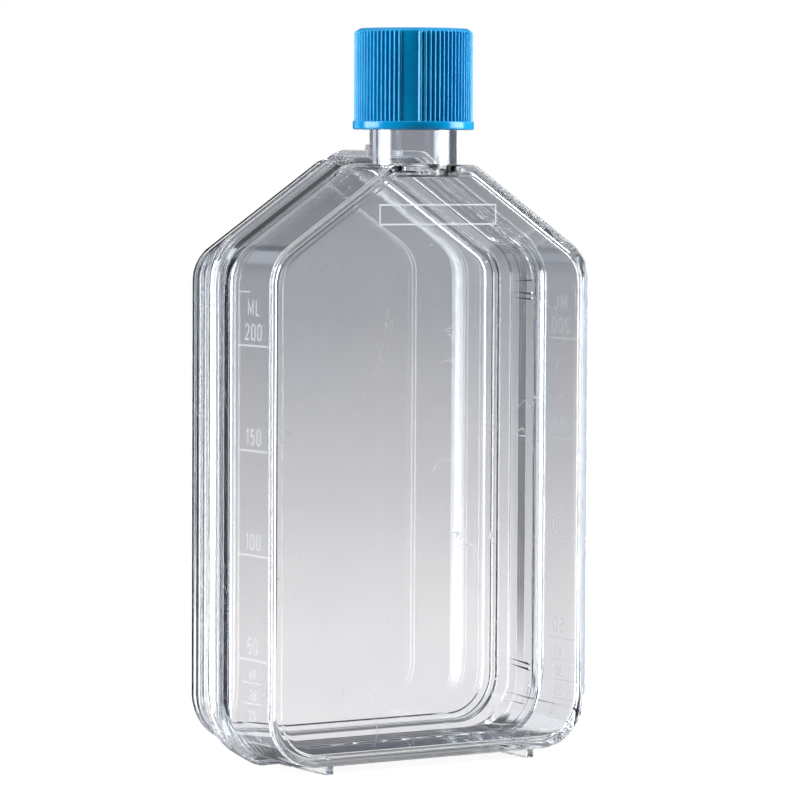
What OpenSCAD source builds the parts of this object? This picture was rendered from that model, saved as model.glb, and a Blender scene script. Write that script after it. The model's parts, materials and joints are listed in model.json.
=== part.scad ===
// Rectangular cell culture flask with a straight neck and a ribbed screw cap.
// It stands on its end: two feet and the trimmed flange carry it, with the neck up.
// The two halves of the flask are welded face to face at the flange.

/* [Flask body] */
// Width across the two narrow side walls
body_w = 79.6; // [66:0.1:96]
// Height from the bottom wall to the flat top that carries the neck
body_h = 126; // [104:0.1:152]
// How far the shoulders fall from the flat top to the side walls
shoulder_drop = 20; // [16:0.1:25]
// Radius of the two bottom corners
corner_r = 11.5; // [9:0.1:15]
// Radius of the two shoulder corners
shoulder_r = 10; // [8:0.1:17]
// Radius of the two corners beside the neck
top_r = 5; // [5:0.1:6]
// Thickness of every moulded wall
wall_t = 1.3; // [1:0.02:1.6]

/* [Ridges] */
// Height of the stacking ridge above the face it surrounds
ridge_h = 0.6; // [0.3:0.05:1]
// Width of the stacking ridge
ridge_w = 2.6; // [2:0.1:2.8]
// Rounding of the outer edges
edge_r = 0.5; // [0.4:0.1:1.2]
// Rounding inside, where a face meets the side walls
inner_r = 0.7; // [0.5:0.1:1.4]

/* [Weld flange] */
// Distance from the neck back to the weld
weld_setback = 2.6; // [1.8:0.1:4]
// How far the flange stands out from the side walls
flange_out = 3; // [2.2:0.1:3.6]
// Radius of the flange's two bottom corners
flange_corner_r = 18.5; // [16:0.1:19]
// Thickness of the flange on each half
flange_t = 0.8; // [0.6:0.05:1.2]
// How far the walls step outwards beside the flange
step_out = 1.5; // [1:0.1:1.8]
// Length over which the front half flares out to that step
flare_l = 2.2; // [1.6:0.1:4.5]
// Straight wall between the flange and the flare
flare_start = 0.8; // [0.4:0.1:1.5]

/* [Rear half] */
// Depth of the rear half, from the weld to its ridge
rear_d = 15.6; // [13:0.1:19]
// Depth of the step beside the flange
rear_step = 3; // [1.5:0.1:3.5]
// Depth over which the wall flares back from that step
rear_flare = 1.9; // [1.2:0.1:2.2]
// How far the rear face is set in from the side walls
rear_inset = 1.4; // [1:0.1:2]
// Height above the rear face at which the side walls start to slant in
ledge_start = 7; // [6:0.1:7.4]
// Height above the rear face at which they run straight again
ledge_end = 3.8; // [3:0.1:4.5]
// How much larger the radius of the rear half's bottom corners is
rear_rounder = 1.2; // [0:0.1:2]
// How much further the rear ridge's shoulders reach up
rear_shoulder_rise = 0.1; // [0:0.1:1]
// How much further its flat top reaches up
rear_top_rise = 2.2; // [1:0.1:2.6]

/* [Feet] */
// Height of the body above the surface it stands on
stand_h = 1.8; // [1.5:0.1:2.5]
// Width of each foot
foot_w = 1.9; // [1.4:0.1:2.6]
// Distance from a foot to the rounding of the bottom corner
foot_inset = 2; // [0:0.1:6]

/* [Neck] */
// Outer diameter of the neck
neck_od = 18.6; // [15.5:0.1:22.4]
// Flat ledge on each side of the neck
neck_ledge = 0.9; // [0.3:0.1:3]
// Distance from the front ridge back to the neck, negative where the neck stands proud
neck_setback = -0.3; // [-1:0.1:3]

/* [Screw cap] */
// Height of the cap
cap_h = 21.4; // [17:0.1:26]
// Gap between the flange and the closed cap's lower edge
cap_gap = 4.3; // [1:0.1:8]
// Thickness of the cap's skirt under the ribs
cap_wall = 1.6; // [1:0.1:2.4]
// Thickness of the cap's top
cap_top_t = 1.5; // [1:0.1:2]
// Room between the neck and the cap's skirt, where the two threads lie
thread_room = 1.4; // [1:0.1:1.8]
// Height of one grip rib above the skirt
rib_h = 0.4; // [0.2:0.05:0.6]
// Number of ribs in each of the four groups
group_ribs = 16; // [8:1:20]
// Smooth angle between two groups of ribs
group_gap = 15.6; // [6:0.2:30]
// Height of the smooth band at the cap's lower edge
band_h = 1.8; // [1.2:0.1:2.6]
// How far that band stands out beyond the ribs
band_out = 0.2; // [0.05:0.05:0.4]
// Size of the bevel round the cap's top
bevel = 0.8; // [0.4:0.1:1.2]
// How far round the closed cap is turned
cap_turn = 54; // [0:1:90]

/* [Cap seal] */
// Thickness of the sealing disc
seal_t = 1.2; // [0.8:0.1:2]
// Gap between the disc's edge and the cap's skirt
seal_gap = 0.5; // [0.3:0.1:0.8]

/* [Moulded marks] */
// Width of a raised line
mark_w = 0.3; // [0.2:0.05:0.5]
// Height of a raised line above its wall
mark_h = 0.12; // [0.08:0.02:0.2]
// Height of the lowest filling mark above the bottom wall
mark_low = 22.6; // [18:0.1:26]
// Distance between two filling marks
mark_pitch = 21.9; // [18:0.1:26]
// Distance from the front ridge to a filling mark
mark_setback = 2; // [1.5:0.1:3]
// Distance from a filling mark to the flare
mark_end_gap = 1.4; // [0:0.1:3]
// Width of the empty label frame on the front face
label_w = 29.1; // [20:0.1:34]
// Height of the label frame
label_h = 4.1; // [3:0.1:6]
// Distance from the flat top down to the label frame
label_drop = 8.5; // [6:0.1:12]
// How far the label frame stands to the right of the middle
label_shift = 1; // [-3:0.1:3]

/* [Hidden] */
$fn = 96;
eps = 0.01;
// Largest turn between two points of a rounded corner
arc_step = 9;

// Lying frame: the flask rests on its rear ridge with the neck along +Y, and Z is the
// height above the plane it rests on
seam_z = rear_d;
step_z = seam_z - flange_t - rear_step;
flare_z = seam_z + flange_t + flare_start;
flat_z = flare_z + flare_l;
neck_or = neck_od / 2;
neck_ir = neck_or - wall_t;
neck_z = seam_z + weld_setback + neck_or;
body_d = neck_z + neck_or + neck_setback;
front_face_z = body_d - ridge_h;
front_inner_z = front_face_z - wall_t;
rear_inner_z = ridge_h + wall_t;
// How much higher the slant starts and ends inside, for an even wall
slant_shift = wall_t * tan(atan2(rear_inset, ledge_start - ledge_end) / 2);

// Cap and seal: the seal lies on the neck's rim, and the cap's top lies on the seal
cap_ir = neck_or + thread_room;
skirt_r = cap_ir + cap_wall;
rib_r = skirt_r + rib_h;
band_r = rib_r + band_out;
seal_r = cap_ir - seal_gap;
neck_l = flange_out + cap_gap + cap_h - cap_top_t - seal_t;

// Standing frame: the origin is under the middle of the whole flask, which reaches from
// the front of the cap to the rear ridge
cap_low = stand_h + body_h + flange_out + cap_gap;
neck_top = stand_h + body_h + neck_l;
neck_y = (band_r - neck_z) / 2;
rear_y = neck_y + neck_z;

// The body's outline with sharp corners, and the radius of each corner
top_half = neck_or + neck_ledge;
side_top = body_h - shoulder_drop;
corners = [
    [body_w / 2, 0], [body_w / 2, side_top], [top_half, body_h],
    [-top_half, body_h], [-body_w / 2, side_top], [-body_w / 2, 0],
];
radii = [corner_r, shoulder_r, top_r, top_r, shoulder_r, corner_r];
slope = atan2(shoulder_drop, body_w / 2 - top_half);
// The outward direction in which each corner's arc starts, and the angle it turns through
starts = [-90, 0, 90 - slope, 90, 90 + slope, 180];
turns = [90, 90 - slope, slope, slope, 90 - slope, 90];
sides = len(corners);
// Height at which the side wall starts to round into the shoulder
straight_top = side_top - shoulder_r * tan(turns[1] / 2);
mark_count = 1 + floor((straight_top - mark_low) / mark_pitch);
mark_l = body_d - flat_z - mark_setback - mark_end_gap;

function dir(a) = [cos(a), sin(a)];
// How far corner i is moved to reach the rear ridge's higher and narrower flat top
function lift(i) =
    turns[i] == 90 ? [0, 0] :
    i == 1 || i == 4 ? [0, rear_shoulder_rise] :
    [(i == 2 ? -1 : 1) * (rear_top_rise - rear_shoulder_rise) / tan(slope), rear_top_rise];
// Radius of corner i in the outline moved outwards by u. The bottom corners' radius is larger
// by rear_rounder where rear is 1, and grows to the flange's own radius outside the walls
function corner_radius(i, u, rear) =
    radii[i] + u + (turns[i] != 90 ? 0 : u <= step_out ? rear * rear_rounder :
        (flange_corner_r - radii[i] - flange_out) * (u - step_out) / (flange_out - step_out));
// Middle of the arc at corner i in that outline, on the line that halves the corner
function arc_centre(i, u, rear, rise) =
    corners[i] + rise * lift(i)
        + dir(starts[i] + turns[i] / 2) * (u - corner_radius(i, u, rear)) / cos(turns[i] / 2);
// Points of an arc of radius r round the point c, from direction a to direction b
function arc(c, r, a, b, n = 4) = [for (k = [0:n]) c + r * dir(a + (b - a) * k / n)];
// The body's outline moved outwards by u, with the rear half's corners where rear is 1 and
// the rear ridge's flat top where rise is 1
function outline(u, rear = 0, rise = 0) = [
    for (i = [0:sides - 1])
        each arc(arc_centre(i, u, rear, rise), corner_radius(i, u, rear),
                 starts[i], starts[i] + turns[i], ceil(turns[i] / arc_step))
];

// Section of the front half, as pairs of the distance outwards from the side walls and the
// height in the lying frame: front face, ridge, side wall, flare, flange and back inside.
// The wall runs straight inside, so that its rim at the weld is thick and solid
front_section = [
    [-ridge_w, front_face_z],
    [-ridge_w + ridge_h / 2, body_d],
    each arc([-edge_r, body_d - edge_r], edge_r, 90, 0),
    [0, flat_z],
    [step_out, flare_z],
    [step_out, seam_z + flange_t],
    [flange_out, seam_z + flange_t],
    [flange_out, seam_z],
    [-wall_t, seam_z],
    each arc([-wall_t - inner_r, front_inner_z - inner_r], inner_r, 0, 90),
];

// Section of the rear half in the same form: inside, flange, step, flare, slant, ridge and
// rear face. The further numbers are the rear and rise of the outline
rear_section = [
    [-rear_inset - wall_t, rear_inner_z, 1, 1],
    [-rear_inset - wall_t, ledge_end + slant_shift, 1, 1],
    [-wall_t, ledge_start + slant_shift, 1, 0],
    [-wall_t, seam_z, 0, 0],
    [flange_out, seam_z, 0, 0],
    [flange_out, seam_z - flange_t, 0, 0],
    [step_out, seam_z - flange_t, 1, 0],
    [step_out, step_z, 1, 0],
    [0, step_z - rear_flare, 1, 0],
    [0, ledge_start, 1, 0],
    [-rear_inset, ledge_end, 1, 1],
    for (p = arc([-rear_inset - edge_r, edge_r], edge_r, 0, -90)) [p[0], p[1], 1, 1],
    [-rear_inset - ridge_w + ridge_h / 2, 0, 1, 1],
    [-rear_inset - ridge_w, ridge_h, 1, 1],
];

// A tray: its section swept round the outline, closed by a flat face at the section's two ends
module tray(section) {
    rings = len(section);
    n = len(outline(0));
    polyhedron(
        points = [
            for (s = section, p = len(s) > 2 ? outline(s[0], s[2], s[3]) : outline(s[0]))
                [p[0], p[1], s[1]]
        ],
        faces = [
            [for (k = [n - 1:-1:0]) k],
            [for (k = [0:n - 1]) (rings - 1) * n + k],
            for (i = [0:rings - 2], k = [0:n - 1])
                let (j = (k + 1) % n)
                    [i * n + k, i * n + j, (i + 1) * n + j, (i + 1) * n + k],
        ]
    );
}

// Stands the lying flask on its end
module stand_up() {
    translate([0, rear_y, stand_h]) rotate([90, 0, 0]) children();
}

// The half space above the surface that the flask stands on, in the lying frame
module above_surface() {
    translate([-body_w, -stand_h, -1]) cube([2 * body_w, 2 * body_h, body_d + 2]);
}

// A cylinder along the neck's axis, from height a to height b above the bottom wall
module along_neck(r, a, b) {
    translate([0, a, neck_z]) rotate([-90, 0, 0]) cylinder(h = b - a, r = r);
}

// Two ribs under the bottom wall, from the front ridge to the flange, before they are
// trimmed to the surface
module feet() {
    foot_x = body_w / 2 - corner_r - foot_inset - foot_w / 2;
    foot_z = seam_z + flange_t / 2;
    for (side = [-1, 1])
        translate([side * foot_x - foot_w / 2, -stand_h - 1, foot_z])
            cube([foot_w, stand_h + 1 + wall_t / 2, body_d - edge_r - foot_z]);
}

// Raised filling marks on both side walls
module filling_marks() {
    for (side = [-1, 1], k = [0:mark_count - 1])
        translate([side * body_w / 2, mark_low + k * mark_pitch, body_d - mark_setback - mark_l / 2])
            cube([2 * mark_h, mark_w, mark_l], center = true);
}

// The empty frame on the front face that marks the place for a label
module label_frame() {
    translate([label_shift, body_h - label_drop - label_h / 2, front_face_z])
        difference() {
            cube([label_w, label_h, 2 * mark_h], center = true);
            cube([label_w - 2 * mark_w, label_h - 2 * mark_w, 1], center = true);
        }
}

module front_shell() {
    color("aliceblue", 0.45)
        stand_up()
            difference() {
                union() {
                    intersection() {
                        union() {
                            tray(front_section);
                            feet();
                        }
                        above_surface();
                    }
                    along_neck(neck_or, body_h - wall_t / 2, body_h + neck_l);
                    filling_marks();
                    label_frame();
                }
                along_neck(neck_ir, body_h - wall_t - 1, body_h + neck_l + 1);
            }
}

module rear_shell() {
    color("lightsteelblue", 0.45)
        stand_up()
            intersection() {
                tray(rear_section);
                above_surface();
            }
}

// Outline of the cap with its grip ribs in four groups, smooth between the groups
module ribbed_disc() {
    pitch = (90 - group_gap) / group_ribs;
    polygon([
        for (group = [0:3], k = [0:group_ribs - 1])
            let (a = 90 * group + group_gap / 2 + k * pitch)
                each [
                    dir(a + 0.02 * pitch) * skirt_r,
                    dir(a + 0.25 * pitch) * rib_r,
                    dir(a + 0.75 * pitch) * rib_r,
                    dir(a + 0.98 * pitch) * skirt_r,
                ]
    ]);
}

module screw_cap() {
    color("dodgerblue")
        translate([0, neck_y, cap_low])
            rotate([0, 0, cap_turn])
                difference() {
                    union() {
                        cylinder(h = band_h, r = band_r);
                        cylinder(h = cap_h - bevel, r = skirt_r);
                        translate([0, 0, band_h - eps])
                            linear_extrude(cap_h - band_h - bevel + eps) ribbed_disc();
                        translate([0, 0, cap_h - bevel])
                            cylinder(h = bevel, r1 = skirt_r, r2 = skirt_r - bevel);
                    }
                    translate([0, 0, -1]) cylinder(h = cap_h - cap_top_t + 1, r = cap_ir);
                }
}

module cap_seal() {
    color("white")
        translate([0, neck_y, neck_top]) cylinder(h = seal_t, r = seal_r);
}

front_shell();
rear_shell();
screw_cap();
cap_seal();
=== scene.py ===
"""Visual model of a rectangular cell culture flask with a ribbed screw cap.

Lengths are in millimetres and become metres when a mesh is made. X is the width, Y runs from
the front face back to the growth face, and Z is up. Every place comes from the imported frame.
"""

import json
import logging
import math
import random
from abc import ABC, abstractmethod
from collections.abc import Callable
from dataclasses import dataclass, field
from enum import Enum
from functools import partial

import bmesh
import bpy
from mathutils import Matrix, Vector


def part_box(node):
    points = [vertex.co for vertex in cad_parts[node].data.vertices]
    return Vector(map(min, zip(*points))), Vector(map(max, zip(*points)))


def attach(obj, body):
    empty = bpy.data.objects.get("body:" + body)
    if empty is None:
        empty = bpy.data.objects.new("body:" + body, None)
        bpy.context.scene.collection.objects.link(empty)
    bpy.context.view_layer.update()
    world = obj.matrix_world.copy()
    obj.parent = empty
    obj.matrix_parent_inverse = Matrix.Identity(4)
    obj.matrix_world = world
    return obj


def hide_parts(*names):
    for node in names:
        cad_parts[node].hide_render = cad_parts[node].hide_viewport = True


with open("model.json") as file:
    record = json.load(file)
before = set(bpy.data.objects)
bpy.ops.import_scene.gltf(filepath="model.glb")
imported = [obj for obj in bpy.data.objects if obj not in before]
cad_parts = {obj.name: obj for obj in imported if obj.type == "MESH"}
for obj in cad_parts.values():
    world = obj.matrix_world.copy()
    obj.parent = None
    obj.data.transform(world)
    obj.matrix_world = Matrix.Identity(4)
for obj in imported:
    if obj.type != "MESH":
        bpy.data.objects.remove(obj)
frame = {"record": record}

MM = 0.001
TINY = 1e-6
LOG = logging.getLogger("flask")
RGBA = {"data_type": "RGBA"}
# The values that smooth noise mostly takes
MIDDLE = {"From_Min": 0.3, "From_Max": 0.7}

Object = bpy.types.Object
Node = bpy.types.Node
Socket = bpy.types.NodeSocket
Point = tuple[float, float]
Point3 = tuple[float, float, float]
Colour = tuple[float, float, float, float]
# Distance outwards, depth, and the outline's rear and rise
Ring = tuple[float, float, float, float]
# Puts a point of a wall and a height above it into space
Place = Callable[[float, float, float], Point3]


class Operation(Enum):
    """How one closed mesh changes another."""

    JOIN = "UNION"
    CUT = "DIFFERENCE"


class Fade(Enum):
    """How a light level falls off at its edge."""

    EVEN = "LINEAR"
    SOFT = "SMOOTHSTEP"


class MarkSet(Enum):
    """The raised marks that make one piece."""

    FILLING = "filling_marks"
    FRAME = "label_frame"


# --- Mesh tools ---


def to_object(name: str, verts: list[Point3], faces: list[tuple[int, ...]]) -> Object:
    """Makes an object from points in millimetres.

    Args:
        name: name of the object and its mesh.
        verts: points in millimetres.
        faces: corners of each face, counter-clockwise seen from outside.

    Returns:
        The object, linked to the scene.
    """
    mesh = bpy.data.meshes.new(name)
    mesh.from_pydata([tuple(c * MM for c in v) for v in verts], [], faces)
    mesh.validate()
    obj = bpy.data.objects.new(name, mesh)
    bpy.context.scene.collection.objects.link(obj)
    return obj


def bake_modifiers(obj: Object) -> None:
    """Replaces an object's mesh by the result of its modifiers.

    Args:
        obj: the object.
    """
    depsgraph = bpy.context.evaluated_depsgraph_get()
    mesh = bpy.data.meshes.new_from_object(obj.evaluated_get(depsgraph))
    obj.modifiers.clear()
    obj.data = mesh


def combine(body: Object, other: Object, operation: Operation) -> None:
    """Adds a closed piece to a body or cuts it out, and removes the piece.

    Args:
        body: object that is changed.
        other: closed object that is added or cut out.
        operation: what is done with it.
    """
    step = body.modifiers.new(operation.name, "BOOLEAN")
    step.operation = operation.value
    step.solver = "MANIFOLD"
    step.object = other
    bake_modifiers(body)
    bpy.data.objects.remove(other)


def smooth(obj: Object, sharp_deg: float = 40.0) -> None:
    """Shades a piece smooth, keeps its hard edges, and lets large flat faces stay flat.

    Args:
        obj: object to shade.
        sharp_deg: edges that turn more than this stay sharp.
    """
    merge = 1e-7
    mesh = bmesh.new()
    mesh.from_mesh(obj.data)
    bmesh.ops.remove_doubles(mesh, verts=mesh.verts, dist=merge)
    bmesh.ops.dissolve_degenerate(mesh, edges=mesh.edges, dist=merge)
    limit = math.radians(sharp_deg)
    for face in mesh.faces:
        face.smooth = True
    for edge in mesh.edges:
        edge.smooth = edge.is_manifold and edge.calc_face_angle(0.0) < limit
    mesh.to_mesh(obj.data)
    mesh.free()
    step = obj.modifiers.new("flat faces", "WEIGHTED_NORMAL")
    step.mode = "FACE_AREA"
    step.weight = 50
    step.keep_sharp = True
    bake_modifiers(obj)


def rounded_path(turns: list[Point3], step_deg: float = 12.0) -> list[Point]:
    """Rounds the corners of an open path.

    Args:
        turns: the path's corners, each with the radius of its rounding.
        step_deg: largest turn between two points of a rounding.

    Returns:
        The points of the rounded path.
    """
    points = [Vector(t[:2]) for t in turns]
    path = [points[0]]
    for before, here, after, turn in zip(points, points[1:], points[2:], turns[1:]):
        arriving, leaving = (here - before), (after - here)
        angle = arriving.angle(leaving)
        # A rounding takes up less than half of the stretch beside it
        room = 0.48 * min(arriving.length, leaving.length)
        cut = min(turn[2] * math.tan(angle / 2), room)
        if cut < 1e-4:
            path.append(here)
            continue
        start = here - arriving.normalized() * cut
        end = here + leaving.normalized() * cut
        count = max(2, math.ceil(math.degrees(angle) / step_deg))
        radius = cut / math.tan(angle / 2)
        centre = here + (end - here + start - here).normalized() * radius / math.cos(angle / 2)
        for k in range(count + 1):
            share = k / count
            first, last = start - centre, end - centre
            arc = (math.sin((1 - share) * angle) * first + math.sin(share * angle) * last)
            path.append(centre + arc / math.sin(angle))
    path.append(points[-1])
    return [tuple(p) for p in path]


def bands(rings: list[list[int]], closed: bool = False) -> list[tuple[int, ...]]:
    """Joins rings of points by bands of faces, without corners that coincide.

    Args:
        rings: the numbers of each ring's points.
        closed: whether the last ring joins the first.

    Returns:
        The faces.
    """
    pairs = list(zip(rings, rings[1:])) + ([(rings[-1], rings[0])] if closed else [])
    faces = []
    for low, high in pairs:
        for k in range(len(low)):
            j = (k + 1) % len(low)
            corners = tuple(dict.fromkeys((low[k], low[j], high[j], high[k])))
            if len(corners) > 2:
                faces.append(corners)
    return faces


def lathe(name: str, path: list[tuple[float, ...]], centre: Point, count: int = 128,
          ribs: list[float] | None = None) -> Object:
    """Turns a path round an upright axis.

    Args:
        name: name of the object.
        path: points as radius and height and, where there are ribs, their share at that height.
        centre: X and Y of the axis.
        count: points round the axis.
        ribs: how far the ribs stand out at each point round the axis.

    Returns:
        The object, which is closed if the path runs from the axis back to the axis.
    """
    verts: list[Point3] = []
    rings: list[list[int]] = []
    for radius, height, *share in path:
        if radius < TINY:
            verts.append((*centre, height))
            rings.append([len(verts) - 1] * count)
            continue
        rings.append(list(range(len(verts), len(verts) + count)))
        for k in range(count):
            a = 2 * math.pi * k / count
            reach = radius + (share[0] * ribs[k] if ribs else 0.0)
            verts.append((centre[0] + reach * math.cos(a), centre[1] + reach * math.sin(a), height))
    return to_object(name, verts, bands(rings))


def tube(name: str, route: list[Point3], half: list[Point], closed: bool) -> Object:
    """Sweeps a small oval section along a route.

    The section is set level, so where a route runs straight up it shrinks to nothing.

    Args:
        name: name of the object.
        route: points of the route.
        half: the section's half size at each point, across the route and upwards.
        closed: whether the route's end meets its start.

    Returns:
        The closed object.
    """
    sides = 8
    verts: list[Point3] = []
    count = len(route)
    for i, (point, (wide, high)) in enumerate(zip(route, half)):
        before = Vector(route[i - 1] if closed or i else route[0])
        after = Vector(route[(i + 1) % count] if closed or i + 1 < count else route[-1])
        along = (after - before).normalized()
        across = along.cross(Vector((0, 0, 1))).normalized()
        up = across.cross(along)
        for k in range(sides):
            a = 2 * math.pi * k / sides
            verts.append(tuple(Vector(point) + across * wide * math.cos(a) + up * high * math.sin(a)))
    rings = [list(range(i * sides, (i + 1) * sides)) for i in range(count)]
    faces = bands(rings, closed)
    if not closed:
        faces += [tuple(reversed(rings[0])), tuple(rings[-1])]
    return to_object(name, verts, faces)


# --- Materials ---


def linear(hex_colour: str) -> Colour:
    """Turns an sRGB colour into a linear one.

    Args:
        hex_colour: the colour, such as 0A7FC8.

    Returns:
        Linear red, green, blue and alpha.
    """
    parts = [int(hex_colour[i:i + 2], 16) / 255 for i in (0, 2, 4)]
    values = [c / 12.92 if c <= 0.04045 else ((c + 0.055) / 1.055) ** 2.4 for c in parts]
    return (*values, 1.0)


def light(*levels: float) -> Colour:
    """Gives the colour of light by one level for a grey or by three; 1 renders as white."""
    return (*(levels * 3)[:3], 1.0)


def lumps(size_mm: float) -> float:
    """Gives the scale of a pattern whose lumps are about a size across."""
    return 1.0 / (size_mm * MM)


class Graph:
    """The node tree of one material or world."""

    def __init__(self, owner: bpy.types.Material | bpy.types.World) -> None:
        """Empties a node tree and adds its texture coordinates.

        Args:
            owner: what the tree belongs to.
        """
        owner.use_nodes = True
        self.tree = owner.node_tree
        self.tree.nodes.clear()
        self.place = self.add("TexCoord")
        self.here = self.place.outputs["Object"]

    def add(self, kind: str, settings: dict[str, object] | str = "", **inputs: object) -> Node:
        """Adds a node.

        Args:
            kind: Blender's name of the node's type after ShaderNode.
            settings: the node's own properties by name, or only its operation. A ramp's stops
                are rows of place and colour, and the colour is a hex colour or levels of light.
            inputs: values, sockets, or nodes that give their first output. They go to the
                inputs by name with _ for a space, or by number with a leading i.

        Returns:
            The new node.
        """
        node = self.tree.nodes.new("ShaderNode" + kind)
        if isinstance(settings, str):
            settings = {"operation": settings} if settings else {}
        for key, value in settings.items():
            if key != "stops":
                setattr(node, key, value)
                continue
            elements = node.color_ramp.elements
            while len(elements) < len(value):
                elements.new(0.5)
            for element, (place, *colour) in zip(elements, value):
                element.position = place
                element.color = linear(*colour) if isinstance(colour[0], str) else light(*colour)
        for key, value in inputs.items():
            socket = node.inputs[int(key[1:]) if key[1:].isdigit() else key.replace("_", " ")]
            if isinstance(value, Node):
                value = value.outputs[0]
            if isinstance(value, Socket):
                self.tree.links.new(value, socket)
            else:
                socket.default_value = value
        return node


@dataclass(frozen=True)
class Finish(ABC):
    """A material by its name; each kind adds its own surface."""

    name: str

    @abstractmethod
    def surface(self, graph: Graph) -> Node:
        """Adds the surface's nodes and gives its shader."""

    def build(self) -> bpy.types.Material:
        """Makes the material.

        Returns:
            The material.
        """
        material = bpy.data.materials.new(self.name)
        graph = Graph(material)
        graph.add("OutputMaterial", Surface=self.surface(graph))
        return material


@dataclass(frozen=True)
class ClearPolystyrene(Finish):
    """General-purpose polystyrene, injection moulded in a polished mould and left clear.

    It is as bright as glass, bends light a little more, and is faintly cool where light
    runs along inside a wall. Handling leaves hairline scratches and a little dust, both
    drawn a few times coarser than real ones so that they show.
    """

    name: str = "clear_polystyrene"
    tint: str = "FBFCFD"
    cool_tint: str = "F6F9FC"
    ior: float = 1.59
    roughness: float = 0.004
    scratched: float = 0.3
    flow_mm: float = 30.0
    scratch_mm: float = 26.0
    break_mm: float = 9.0
    dust_mm: float = 4.2

    def scratches(self, graph: Graph) -> Node:
        """Gives 1 on short hairline scratches: level lines of a smooth noise, broken up.

        Args:
            graph: the node tree to add to.

        Returns:
            The node that gives it.
        """
        size = lumps(self.scratch_mm)
        level = graph.add("TexNoise", Vector=graph.here, Scale=size, Detail=2.5, Distortion=0.8)
        line = graph.add("Math", "ABSOLUTE", i0=graph.add("Math", "SUBTRACT", i0=level, i1=0.5))
        thin = graph.add("MapRange", Value=line, From_Min=0.0022, From_Max=0.0008)
        parts = graph.add("TexNoise", Vector=graph.here, Scale=lumps(self.break_mm))
        parts = graph.add("MapRange", Value=parts, From_Min=0.56, From_Max=0.62)
        return graph.add("Math", "MULTIPLY", i0=thin, i1=parts)

    def dust(self, graph: Graph) -> Node:
        """Gives 1 on sparse specks of dust of uneven size.

        Args:
            graph: the node tree to add to.

        Returns:
            The node that gives it.
        """
        cells = graph.add("TexVoronoi", Vector=graph.here, Scale=lumps(self.dust_mm))
        chance = graph.add("SeparateColor", i0=cells.outputs["Color"])
        size = graph.add("MapRange", Value=chance, From_Min=0.55, To_Min=-0.01, To_Max=0.042)
        return graph.add("Math", "LESS_THAN", i0=cells, i1=size)

    def surface(self, graph: Graph) -> Node:
        """Adds clear plastic with slow flow waves, scratched rough and dusted opaque in places.

        Args:
            graph: the node tree to add to.

        Returns:
            The shader.
        """
        flow = graph.add("TexNoise", Vector=graph.here, Scale=lumps(self.flow_mm), Detail=3.0)
        stops = [(0.3, self.tint), (0.7, self.cool_tint)]
        scratches = self.scratches(graph)
        rough = graph.add("MapRange", Value=scratches, To_Min=self.roughness, To_Max=self.scratched)
        clear = graph.add("Math", "SUBTRACT", i0=1.0, i1=self.dust(graph))
        waves = graph.add("Bump", Height=flow, Strength=0.12, Distance=0.05 * MM)
        return graph.add(
            "BsdfPrincipled",
            Base_Color=graph.add("ValToRGB", {"stops": stops}, i0=flow),
            Roughness=rough,
            IOR=self.ior,
            Transmission_Weight=clear,
            Normal=waves,
        )


@dataclass(frozen=True)
class EtchedPolystyrene(Finish):
    """Raised marks moulded from spark-etched parts of the mould.

    Their fine grain scatters the light that runs inside the wall, so they look like a thin
    pale haze on it; that scattered light is painted on as a glow of their own, an emission.
    The grain is drawn coarser than a real one of some hundredths.
    """

    name: str = "etched_polystyrene"
    tint: str = "3A3C3E"
    # Painted glow: an emission in place of the light that the grain scatters out of the wall
    painted_glow_tint: str = "F6FAFF"
    painted_glow: float = 0.88
    roughness: float = 0.6
    haze: tuple[float, float] = (0.2, 0.36)
    grain_mm: float = 0.12

    def surface(self, graph: Graph) -> Node:
        """Adds a grainy haze that lets most of the wall show, and a painted glow.

        Args:
            graph: the node tree to add to.

        Returns:
            The shader.
        """
        grain = graph.add("TexNoise", Vector=graph.here, Scale=lumps(self.grain_mm), Detail=2.0)
        low, high = self.haze
        return graph.add(
            "BsdfPrincipled",
            Base_Color=linear(self.tint),
            Roughness=self.roughness,
            Alpha=graph.add("MapRange", Value=grain, **MIDDLE, To_Min=low, To_Max=high),
            Normal=graph.add("Bump", Height=grain, Strength=0.5, Distance=0.03 * MM),
            # Painted glow: emission standing in for the light that runs inside the wall and scatters
            Emission_Color=linear(self.painted_glow_tint),
            Emission_Strength=self.painted_glow,
        )


@dataclass(frozen=True)
class BluePolyethylene(Finish):
    """High-density polyethylene coloured through in blue, injection moulded.

    It has a waxy gloss, the colour is a little uneven along the flow, and the skin has a
    very fine orange peel.
    """

    name: str = "blue_polyethylene"
    colour: str = "0096D0"
    deep_colour: str = "0088C4"
    ior: float = 1.53
    roughness: tuple[float, float] = (0.13, 0.2)
    flow_mm: float = 7.0
    peel_mm: float = 0.45

    def surface(self, graph: Graph) -> Node:
        """Adds waxy blue plastic with a fine orange peel.

        Args:
            graph: the node tree to add to.

        Returns:
            The shader.
        """
        flow = graph.add("TexNoise", Vector=graph.here, Scale=lumps(self.flow_mm), Detail=3.0)
        peel = graph.add("TexNoise", Vector=graph.here, Scale=lumps(self.peel_mm), Detail=2.0)
        stops = [(0.3, self.colour), (0.7, self.deep_colour)]
        low, high = self.roughness
        return graph.add(
            "BsdfPrincipled",
            Base_Color=graph.add("ValToRGB", {"stops": stops}, i0=flow),
            Roughness=graph.add("MapRange", Value=peel, **MIDDLE, To_Min=low, To_Max=high),
            IOR=self.ior,
            Normal=graph.add("Bump", Height=peel, Strength=0.25, Distance=0.02 * MM),
        )


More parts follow.
